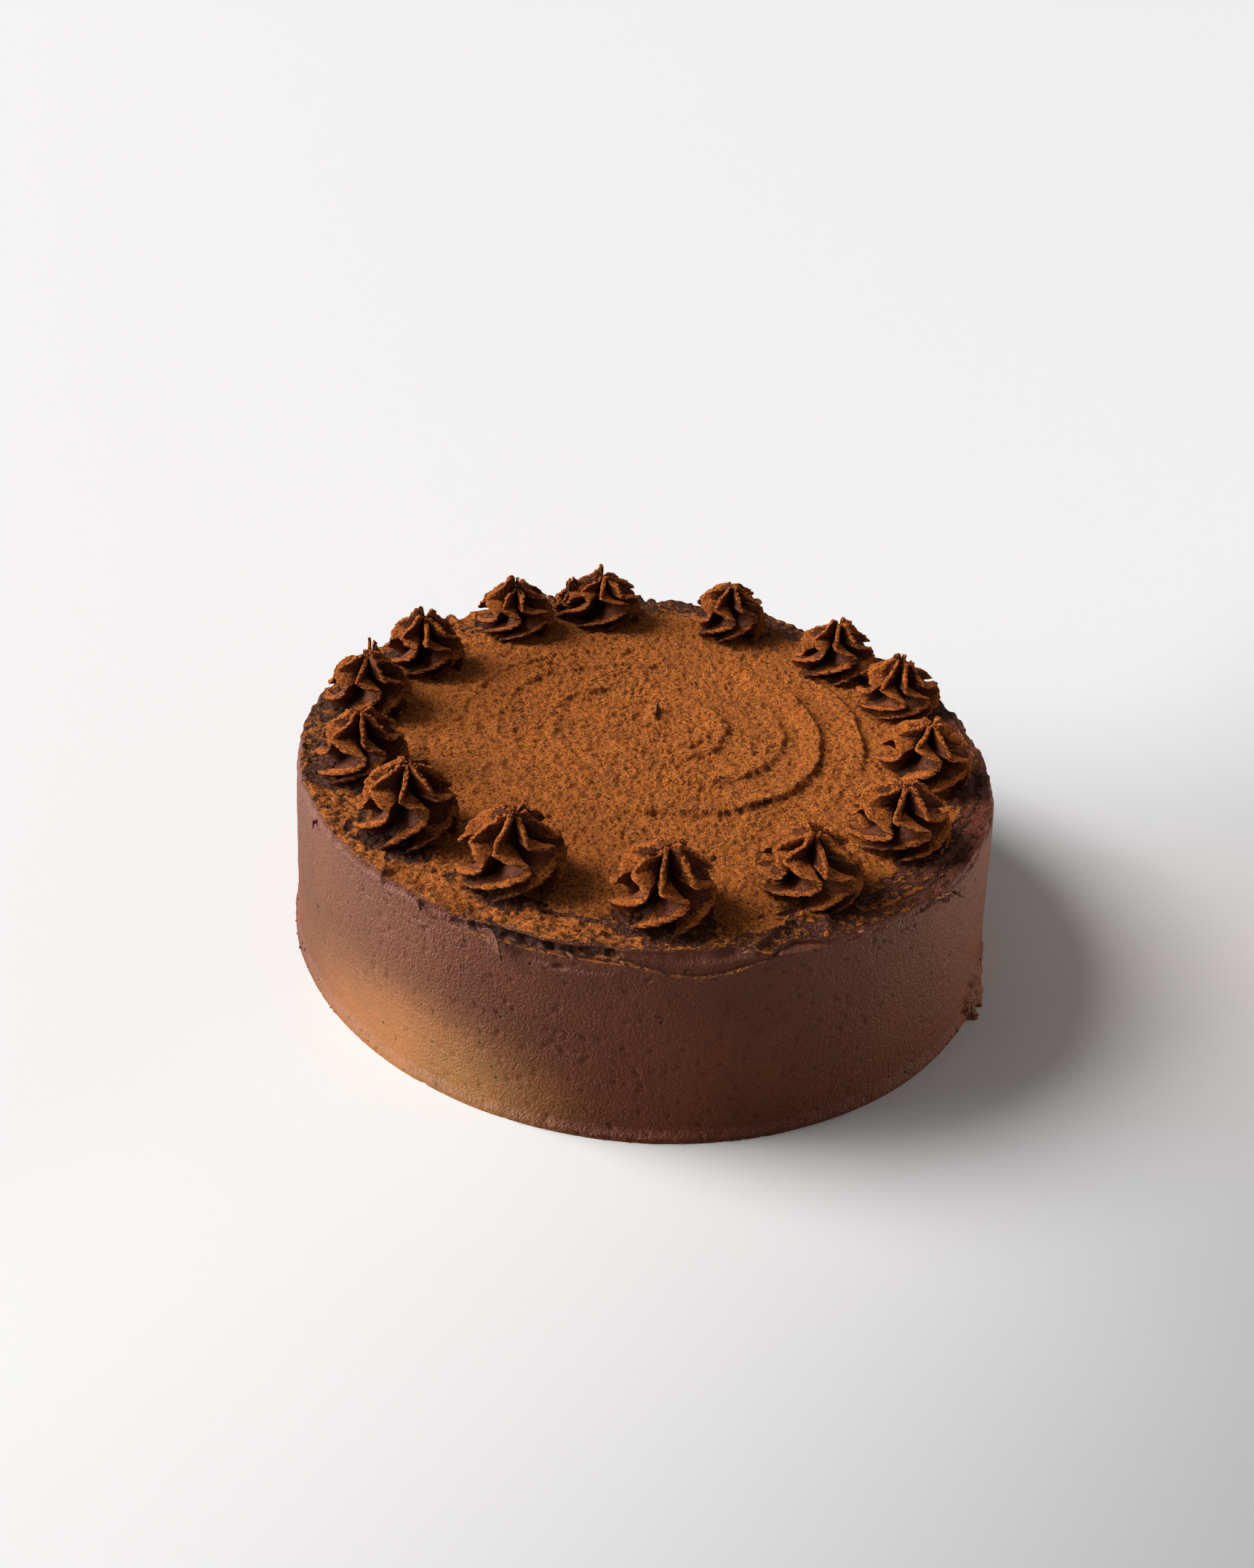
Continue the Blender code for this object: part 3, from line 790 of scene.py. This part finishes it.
def ramp(tree, source, low, high):
    """Brings a value from between low and high to between 0 and 1."""
    inputs = {"Value": source, "From Min": low, "From Max": high}
    return add_node(tree, "ShaderNodeMapRange", inputs, interpolation_type="SMOOTHSTEP").outputs["Result"]


def blend_colours(tree, share, first, second, mode="MIX"):
    inputs = {0: share, 6: first, 7: second}
    return add_node(tree, "ShaderNodeMix", inputs, data_type="RGBA", blend_type=mode).outputs[2]


def reckon(tree, operation, first, second):
    return add_node(tree, "ShaderNodeMath", {0: first, 1: second}, operation=operation).outputs[0]


def weighted(tree, value, weight, plus):
    return reckon(tree, "ADD", reckon(tree, "MULTIPLY", value, weight), plus)


def cocoa_group():
    """Sifted cocoa: its colour, from pits painted dark as shade to clumps painted light as highlight, and its
    height.
    """
    tree, given, result = open_group(
        "sifted cocoa",
        {"Clump Scale": 900.0, "Body": COCOA[0], "Pits": COCOA[1], "Clumps": COCOA[2]},
        {"Colour": "NodeSocketColor", "Height": "NodeSocketFloat"},
    )
    coordinates = own_coordinates(tree)
    clumps = noise_at(tree, coordinates, given["Clump Scale"], 5.0, 0.68)
    fine = noise_at(tree, coordinates, 3600.0, 2.0, 0.6)
    drift = noise_at(tree, coordinates, 55.0, 3.0)
    # Painted shade in the low pits of the lumps and painted highlight on the high clumps, from the noise that
    # also gives the height
    colour = blend_colours(tree, ramp(tree, clumps, 0.485, 0.375), given["Body"], given["Pits"])
    colour = blend_colours(tree, ramp(tree, clumps, 0.52, 0.66), colour, given["Clumps"])
    tone = reckon(tree, "MULTIPLY", weighted(tree, drift, 0.5, 0.76), weighted(tree, fine, 0.5, 0.75))
    colour = blend_colours(tree, 1.0, colour, tone, "MULTIPLY")
    feed(tree, result, {"Colour": colour, "Height": weighted(tree, fine, 0.6, clumps)})
    return tree


def ganache_group():
    """Scraped ganache: slow shifts of brown, small pores painted near black as shade, and a fine grain."""
    tree, given, result = open_group(
        "scraped ganache",
        {"Body": GANACHE[0], "Deep": GANACHE[1], "Pale": GANACHE[2], "Grain Scale": 1500.0},
        {"Colour": "NodeSocketColor", "Roughness": "NodeSocketFloat", "Height": "NodeSocketFloat"},
    )
    coordinates = own_coordinates(tree)
    cloud = noise_at(tree, coordinates, 38.0, 4.0, 0.55)
    blotch = noise_at(tree, coordinates, 260.0, 3.0, 0.6)
    grain = noise_at(tree, coordinates, given["Grain Scale"], 2.0, 0.55)
    cells = add_node(tree, "ShaderNodeTexVoronoi", {"Vector": coordinates, "Scale": 230.0}, feature="F1")
    seldom = ramp(tree, noise_at(tree, coordinates, 120.0, 1.0), 0.56, 0.62)
    # The pores dip in height, and their near-black colour is painted shade
    pore = reckon(tree, "MULTIPLY", ramp(tree, cells.outputs["Distance"], 0.16, 0.05), seldom)
    raised = reckon(tree, "MULTIPLY", ramp(tree, grain, 0.60, 0.72), 0.5)
    colour = blend_colours(tree, ramp(tree, cloud, 0.35, 0.7), given["Deep"], given["Body"])
    colour = blend_colours(tree, raised, colour, given["Pale"])
    height = weighted(tree, blotch, 0.6, grain)
    feed(tree, result, {
        "Colour": blend_colours(tree, pore, colour, PAINTED_PORE_SHADE),
        "Roughness": weighted(tree, blotch, 0.22, 0.38),
        "Height": reckon(tree, "SUBTRACT", height, reckon(tree, "MULTIPLY", pore, 1.5)),
    })
    return tree


def dust_group():
    """How much cocoa lies at a point: the dust mark on the mesh, broken up where it is thin."""
    tree, given, result = open_group("cocoa cover", {"Break Up": 0.5}, {"Cover": "NodeSocketFloat"})
    coordinates = own_coordinates(tree)
    specks = noise_at(tree, coordinates, 1500.0, 3.0, 0.65)
    patches = noise_at(tree, coordinates, 320.0, 2.0)
    shift = reckon(tree, "SUBTRACT", weighted(tree, patches, 0.6, specks), 0.8)
    cover = weighted(tree, shift, given["Break Up"], mesh_mark(tree, "dust"))
    feed(tree, result, {"Cover": ramp(tree, cover, 0.36, 0.62)})
    return tree


def dusted_frosting(
    name, groups, ganache, cocoa, *, clump_scale, break_up, bump, bare_roughness, shine, sheen=0.0
):
    """A ganache with cocoa over it where the mesh is marked as dusted, and painted shade where the mesh marks
    its hollows.
    """
    cocoa_tree, ganache_tree, cover_tree = groups
    material, tree, shader = open_material(name)
    browns = dict(zip(("Body", "Deep", "Pale"), ganache))
    under = add_node(tree, "ShaderNodeGroup", browns, node_tree=ganache_tree).outputs
    powders = {"Clump Scale": clump_scale, **dict(zip(("Body", "Pits", "Clumps"), cocoa))}
    powder = add_node(tree, "ShaderNodeGroup", powders, node_tree=cocoa_tree).outputs
    cover = add_node(tree, "ShaderNodeGroup", {"Break Up": break_up}, node_tree=cover_tree).outputs["Cover"]
    # Painted shade: the marked hollows are blended towards a near-black colour
    hidden = reckon(tree, "MULTIPLY", mesh_mark(tree, "painted_shade"), 0.8)
    colour = blend_colours(tree, cover, under["Colour"], powder["Colour"])
    bare = reckon(tree, "ADD", under["Roughness"], bare_roughness)
    rough = add_node(tree, "ShaderNodeMix", {0: cover, 2: bare, 3: COCOA_ROUGHNESS}, data_type="FLOAT")
    fine = add_node(tree, "ShaderNodeBump", {
        "Strength": 0.6, "Distance": bump * 0.35, "Height": under["Height"],
    })
    lumpy = add_node(tree, "ShaderNodeBump", {
        "Strength": 1.0,
        "Distance": bump,
        "Height": reckon(tree, "MULTIPLY", powder["Height"], cover),
        "Normal": fine.outputs["Normal"],
    })
    feed(tree, shader, {
        "Base Color": blend_colours(tree, hidden, colour, PAINTED_HOLLOW_SHADE),
        "Roughness": rough.outputs[0],
        "Normal": lumpy.outputs["Normal"],
        "Specular IOR Level": shine,
        "Sheen Weight": sheen,
        "Sheen Roughness": 0.45,
        "Sheen Tint": SHEEN_TINT,
    })
    return material


def plain_floor():
    """White paper, shaded towards its front right. The light it throws back is warm near the cake."""
    material, tree, shader = open_material("white paper floor")
    coordinates = own_coordinates(tree)
    split = add_node(tree, "ShaderNodeSeparateXYZ", {"Vector": coordinates}).outputs
    behind = reckon(tree, "MULTIPLY", split["Y"], 0.9)
    nearer = reckon(tree, "SUBTRACT", reckon(tree, "MULTIPLY", split["X"], 1.2), behind)
    seen = blend_colours(tree, ramp(tree, nearer, 0.04, 0.47), FLOOR_LIT, FLOOR_SHADED)
    reach = add_node(tree, "ShaderNodeVectorMath", {0: coordinates}, operation="LENGTH")
    past_board = ramp(tree, reach.outputs["Value"], 0.15, 0.20)
    bounced = blend_colours(tree, past_board, FLOOR_BOUNCE_NEAR, FLOOR_BOUNCE)
    path = add_node(tree, "ShaderNodeLightPath")
    colour = blend_colours(tree, path.outputs["Is Camera Ray"], bounced, seen)
    feed(tree, shader, {"Base Color": colour, "Roughness": 0.8})
    mesh = bpy.data.meshes.new("floor")
    shape = bmesh.new()
    bmesh.ops.create_grid(shape, x_segments=1, y_segments=1, size=9.0)
    shape.to_mesh(mesh)
    shape.free()
    mesh.materials.append(material)
    floor = add_object("floor", mesh)


def studio_light():
    world = bpy.data.worlds.new("studio")
    world.use_nodes = True
    background = world.node_tree.nodes["Background"]
    feed(world.node_tree, background, {"Color": SKY_COLOUR, "Strength": SKY_STRENGTH})
    bpy.context.scene.world = world
    for name, kind, place, aim, energy, size, colour in LAMPS:
        data = bpy.data.lights.new(name, kind)
        data.energy = energy
        data.color = colour
        lamp = add_object(name, data)
        lamp.location = place
        lamp.rotation_euler = (Vector(aim) - Vector(place)).to_track_quat("-Z", "Y").to_euler()
        lamp.visible_camera = False
        if kind == "SUN":
            data.angle = size
        elif kind == "SPOT":
            data.spot_size = size
            data.spot_blend = 1.0
            data.shadow_soft_size = 0.01
            lamp.scale = (1.0, 0.5, 1.0)
        else:
            data.shape = "RECTANGLE"
            data.size = size
            data.size_y = size / 5.0
            data.spread = math.radians(60.0)


def photo_camera():
    data = bpy.data.cameras.new("camera")
    data.sensor_fit = "VERTICAL"
    data.sensor_height = FRAME_HEIGHT
    data.lens = CAMERA_LENS
    data.clip_start = 0.01
    data.clip_end = 30.0
    down, roll = math.radians(CAMERA_DOWN), math.radians(CAMERA_ROLL)
    forward = Vector((0.0, math.cos(down), -math.sin(down)))
    level_up = Vector((0.0, math.sin(down), math.cos(down)))
    level_right = Vector((1.0, 0.0, 0.0))
    right = math.cos(roll) * level_right + math.sin(roll) * level_up
    upward = math.cos(roll) * level_up - math.sin(roll) * level_right
    camera = add_object("camera", data)
    camera.matrix_world = Matrix((right, upward, -forward)).transposed().to_4x4()
    camera.location = CAMERA_PLACE
    bpy.context.scene.camera = camera
    bpy.context.scene.view_settings.view_transform = "Standard"


def build_frosting(dusted, scraped):
    """The frosting's top, edge and wall, which share their normals where they meet."""
    points, normals, marks, faces, (ring, seam, foot) = frosting()

    def closed(part, start=None, stops=(), end=None, caps=()):
        """Closes a part by caps, or by hidden rings of (radius, height) from start to end or a cap."""
        joined, hidden = [start], []
        for radius, height in stops:
            outward = points[start, :2] - TOP_LEAN
            outward = outward / np.linalg.norm(outward, axis=1, keepdims=True)
            joined.append(np.arange(COLUMNS) + len(points) + len(hidden) * COLUMNS)
            hidden.append(np.concatenate([outward * radius + TOP_LEAN, np.full((COLUMNS, 1), height)], 1))
        if end is not None:
            joined.append(end)
        elif hidden:
            caps = [joined[-1][::-1]]
        bands = [ring_faces(upper, lower) for upper, lower in zip(joined, joined[1:])]
        blank = np.zeros(len(hidden) * COLUMNS)
        dust, painted_shade = (np.concatenate([marks[mark], blank]) for mark in ("dust", "painted_shade"))
        part_points, part_faces, part_caps, (part_normals, dust, painted_shade) = compact(
            np.concatenate([points, *hidden]), np.concatenate([faces[part], *bands]), caps,
            np.concatenate([normals, np.zeros((len(blank), 3))]), dust, painted_shade,
        )
        skin = len(faces[part])
        on_side = np.ones(len(part_faces) + len(part_caps), bool)
        on_side[:skin] = marks["over_rim"][faces[part]].max(axis=1) == 0.0
        finish = scraped if on_side.all() else dusted
        part_marks = {"dust": dust, "painted_shade": painted_shade}
        name = f"frosting_{part}"
        piece = make_piece(name, part_points, part_faces, part_caps, finish, part_marks, part_normals)
        if finish is dusted and on_side[:skin].any():
            piece.data.materials.append(scraped)
            piece.data.polygons.foreach_set("material_index", on_side.astype(np.int32))
        rest_on_cake(piece, "frosting", "cake")

    closed("top", ring, [(FLAT_RADIUS - 0.5, UNDER_TOP)])
    closed("edge", seam, [(FLAT_RADIUS + 5.0, SEAM_HEIGHT - 0.5), (FLAT_RADIUS + 2.0, UNDER_TOP)], ring)
    closed("wall", caps=[seam, foot[::-1]])
    return points, np.concatenate(list(faces.values())), marks


def build_rosettes(material):
    """All rosettes and tails, each dusted where the sky over it is open, with painted shade in the pockets
    between their ribs.
    """
    made = []
    for index, spec in enumerate(ROSETTES + TAILS):
        points, faces, caps, rim_share = rosette_mesh(spec, 40 + index)
        cx, cy = at_angle(*spec[:2])
        points = points + np.array([cx + TOP_LEAN[0], cy + TOP_LEAN[1], CAKE_HEIGHT + ROSETTE_GAP])
        made.append((points, faces, caps, rim_share))
    sky = SkyMap(np.concatenate([entry[0] for entry in made]))
    for index, (points, faces, caps, rim_share) in enumerate(made):
        normals = point_normals(points, faces)
        open_share = sky.open_to(points, 0.5)
        grain = 0.6 * soft_noise(points, 1.1, 40) + 0.4 * soft_noise(points, 0.6, 41)
        patchy = soft_noise(points, 3.2, 42) + 0.6 * soft_noise(points, 1.4, 43)
        facing = 0.45 + 0.55 * smooth_step(-0.30, 0.40, normals[:, 2] + 0.20 * patchy)
        dust = (0.25 + 0.75 * open_share) * facing * (0.55 + 0.45 * smooth_step(0.15, 0.8, rim_share))
        dust = np.clip(dust + 0.07 * patchy, 0.0, 1.0)
        # Painted shade in the pockets between the ribs, where the sky over them is closed
        painted_shade = smooth_step(0.75, 0.15, rim_share) * smooth_step(0.9, 0.3, open_share)
        level = smooth_step(0.0, 1.5, points[:, 2] - CAKE_HEIGHT - ROSETTE_GAP)
        shift = (0.11 * grain * (0.5 + dust) + 0.12 * soft_noise(points, 2.4, 44)) * level
        points = points + normals * shift[:, None]
        if index < len(ROSETTES):
            name, nodes = f"piped_rosette_{index + 1:02d}", [f"rosette_{index + 1:02d}"]
        else:
            name, nodes = f"piped_tail_{index + 1 - len(ROSETTES)}", []
        piece = make_piece(name, points, faces, caps, material, {"dust": dust, "painted_shade": painted_shade})
        rest_on_cake(piece, "piped_frosting", *nodes)


# Torn bits of frosting along the rim: path points (angle, radius, height) and half widths
TORN_BITS = (
    (((-111.2, 99.0, 52.3), (-110.5, 100.4, 53.8), (-109.5, 101.5, 54.6), (-108.9, 102.3, 53.0),
      (-108.5, 102.2, 50.0), (-108.2, 101.3, 46.8)), (0.8, 1.7, 2.2, 1.9, 1.1, 0.12)),
    (((-75.2, 99.2, 54.6), (-74.6, 100.2, 55.9), (-73.8, 100.8, 55.4), (-73.3, 100.6, 53.8)),
     (0.3, 0.8, 0.9, 0.1)),
    (((-57.0, 99.6, 54.6), (-56.7, 100.6, 55.2), (-56.3, 101.4, 53.6)), (0.7, 0.5, 0.08)),
    (((-40.6, 99.8, 53.2), (-40.0, 101.2, 53.6), (-39.3, 102.0, 52.6), (-38.9, 101.8, 51.6)),
     (0.3, 0.9, 0.8, 0.1)),
    (((-38.6, 99.6, 52.3), (-37.9, 101.0, 52.8), (-37.2, 101.8, 51.9)), (0.3, 0.8, 0.1)),
    (((-35.6, 99.8, 51.2), (-35.4, 101.6, 50.8), (-35.0, 103.2, 50.0)), (0.5, 0.4, 0.08)),
    (((-122.5, 99.4, 53.6), (-121.8, 100.8, 53.8), (-121.0, 101.6, 52.6)), (0.5, 0.8, 0.1)),
    (((-148.5, 99.6, 53.0), (-148.2, 101.2, 53.0), (-147.4, 102.0, 52.0)), (0.4, 0.6, 0.1)),
    (((-99.3, 99.0, 52.2), (-98.4, 100.6, 52.6), (-97.4, 101.0, 51.8)), (0.4, 0.7, 0.1)),
    (((-92.0, 99.0, 52.0), (-91.4, 100.4, 52.4), (-90.4, 100.6, 51.4)), (0.3, 0.6, 0.1)),
)
BIT_SIDES = 12
BIT_THICKNESS = 0.45  # half of it, at most
BIT_TWIST = 0.35


def ribbon(path, widths):
    """A thin curled strip that tapers along its path: its points, faces and two ends."""
    path = np.array(path, float)
    angle = np.radians(path[:, 0])
    place = np.stack([path[:, 1] * np.cos(angle), path[:, 1] * np.sin(angle), path[:, 2]], 1)
    steps = np.linspace(0, len(path) - 1, 7 * len(path))
    line = np.stack([np.interp(steps, range(len(path)), column) for column in place.T], 1)
    for _ in range(6):
        line[1:-1] = (line[:-2] + 2.0 * line[1:-1] + line[2:]) / 4.0
    half = np.interp(steps, range(len(path)), widths)
    half = (half * (1.0 + 0.18 * soft_noise(line, 0.9, 50)))[:, None]
    ahead = np.gradient(line, axis=0)
    ahead /= np.linalg.norm(ahead, axis=1, keepdims=True)
    outward = line * np.array([1.0, 1.0, 0.0])
    outward /= np.linalg.norm(outward, axis=1, keepdims=True)
    level = np.cross(ahead, outward)
    level /= np.linalg.norm(level, axis=1, keepdims=True)
    facing = np.cross(level, ahead)
    across = level * math.cos(BIT_TWIST) - facing * math.sin(BIT_TWIST)
    thick = facing * math.cos(BIT_TWIST) + level * math.sin(BIT_TWIST)
    rings = []
    for turn in np.linspace(0.0, math.tau, BIT_SIDES, endpoint=False):
        side, over = math.cos(turn), math.sin(turn)
        lift = over * np.minimum(BIT_THICKNESS, half) + 0.35 * side * side * half
        rings.append(line + across * (side * half) + thick * lift)
    grid = np.stack(rings, 1)
    index = np.arange(len(grid) * BIT_SIDES).reshape(-1, BIT_SIDES)
    faces = np.concatenate([ring_faces(upper, lower) for upper, lower in zip(index, index[1:])])
    return grid.reshape(-1, 3), faces, [index[0], index[-1][::-1]]


def build_torn_bits(material):
    for number, (path, widths) in enumerate(TORN_BITS, 1):
        points, faces, caps = ribbon(path, widths)
        marks = {"dust": 0.40 * smooth_step(-0.6, 1.0, soft_noise(points, 1.5, 51))}
        piece = make_piece(f"torn_bit_{number:02d}", lean_with_top(points), faces, caps, material, marks)
        rest_on_cake(piece, "frosting")


def crumb_tree(material):
    """Scatters lumpy crumbs over a surface, as thickly as its crumbs mark says."""
    tree = bpy.data.node_groups.new("scattered crumbs", "GeometryNodeTree")
    tree.interface.new_socket("Surface", in_out="INPUT", socket_type="NodeSocketGeometry")
    for label, value in CRUMB_SIZES.items():
        tree.interface.new_socket(label, in_out="INPUT", socket_type="NodeSocketFloat").default_value = value
    tree.interface.new_socket("Crumbs", in_out="OUTPUT", socket_type="NodeSocketGeometry")
    given = add_node(tree, "NodeGroupInput").outputs
    mark = add_node(tree, "GeometryNodeInputNamedAttribute", {"Name": "crumbs"}, data_type="FLOAT")
    scatter = add_node(tree, "GeometryNodeDistributePointsOnFaces", {
        "Mesh": given["Surface"],
        "Density": reckon(tree, "MULTIPLY", given["Density"], mark.outputs["Attribute"]),
        "Seed": 8,
    })
    crumb = add_node(tree, "GeometryNodeMeshIcoSphere", {"Radius": 1.0, "Subdivisions": 2})
    sizes = {2: given["Smallest"], 3: given["Largest"], "Seed": 4}
    size = add_node(tree, "FunctionNodeRandomValue", sizes, data_type="FLOAT")
    shapes = {0: (0.6, 0.6, 0.6), 1: (1.5, 1.2, 1.0)}
    shape = add_node(tree, "FunctionNodeRandomValue", shapes, data_type="FLOAT_VECTOR")
    scales = {0: shape.outputs[0], "Scale": size.outputs[1]}
    scaled = add_node(tree, "ShaderNodeVectorMath", scales, operation="SCALE")
    turns = {1: (math.tau, math.tau, math.tau)}
    turn = add_node(tree, "FunctionNodeRandomValue", turns, data_type="FLOAT_VECTOR")
    place = add_node(tree, "GeometryNodeInstanceOnPoints", {
        "Points": scatter.outputs["Points"],
        "Instance": crumb.outputs["Mesh"],
        "Rotation": turn.outputs[0],
        "Scale": scaled.outputs[0],
    })
    real = add_node(tree, "GeometryNodeRealizeInstances", {"Geometry": place.outputs["Instances"]})
    paint = add_node(tree, "GeometryNodeSetMaterial", {
        "Geometry": real.outputs["Geometry"], "Material": material,
    })
    add_node(tree, "NodeGroupOutput", {"Crumbs": paint.outputs["Geometry"]})
    return tree


def build_crumbs(points, faces, marks, material):
    """Crumbs along the foot, in the tear and on the outer band of the top."""
    chosen = faces[(marks["crumbs"][faces] > 0.0).any(axis=1)]
    kept_points, kept_faces, _, (mark,) = compact(points, chosen, [], marks["crumbs"])
    ground = make_piece("crumb_ground", kept_points, kept_faces, [], material, {"crumbs": mark})
    tree = crumb_tree(material)
    scatter = ground.modifiers.new("crumbs", "NODES")
    scatter.node_group = tree
    for item in tree.interface.items_tree:
        if item.name in CRUMB_SIZES:
            scatter[item.identifier] = CRUMB_SIZES[item.name]
    view = bpy.context.evaluated_depsgraph_get()
    mesh = bpy.data.meshes.new_from_object(ground.evaluated_get(view), depsgraph=view)
    bpy.data.objects.remove(ground)
    mesh.name = "loose_crumbs"
    mesh.shade_smooth()
    place = np.zeros(len(mesh.vertices) * 3, np.float32)
    mesh.vertices.foreach_get("co", place)
    height = np.maximum(place[2::3], 0.0)
    place[2::3] = height
    mesh.vertices.foreach_set("co", place)
    set_mark(mesh, "dust", (height > 0.04) * 0.75)
    rest_on_cake(add_object("loose_crumbs", mesh), "frosting")


def main():
    photo_camera()
    studio_light()
    plain_floor()
    groups = (cocoa_group(), ganache_group(), dust_group())
    top = dusted_frosting(
        "cocoa dusted ganache", groups, GANACHE, COCOA,
        clump_scale=1150.0, break_up=0.7, bump=0.0034, bare_roughness=0.08, shine=0.25,
    )
    side = dusted_frosting(
        "scraped side ganache", groups, GANACHE, COCOA,
        clump_scale=1150.0, break_up=0.7, bump=0.0028, bare_roughness=0.08, shine=0.30, sheen=0.12,
    )
    piped = dusted_frosting(
        "piped ganache", groups, PIPED_GANACHE, PIPED_COCOA_PAINTED_DARKER,
        clump_scale=1400.0, break_up=1.3, bump=0.0012, bare_roughness=0.15, shine=0.15,
    )
    points, faces, marks = build_frosting(top, side)
    build_rosettes(piped)
    build_torn_bits(side)
    build_crumbs(points, faces, marks, piped)


main()
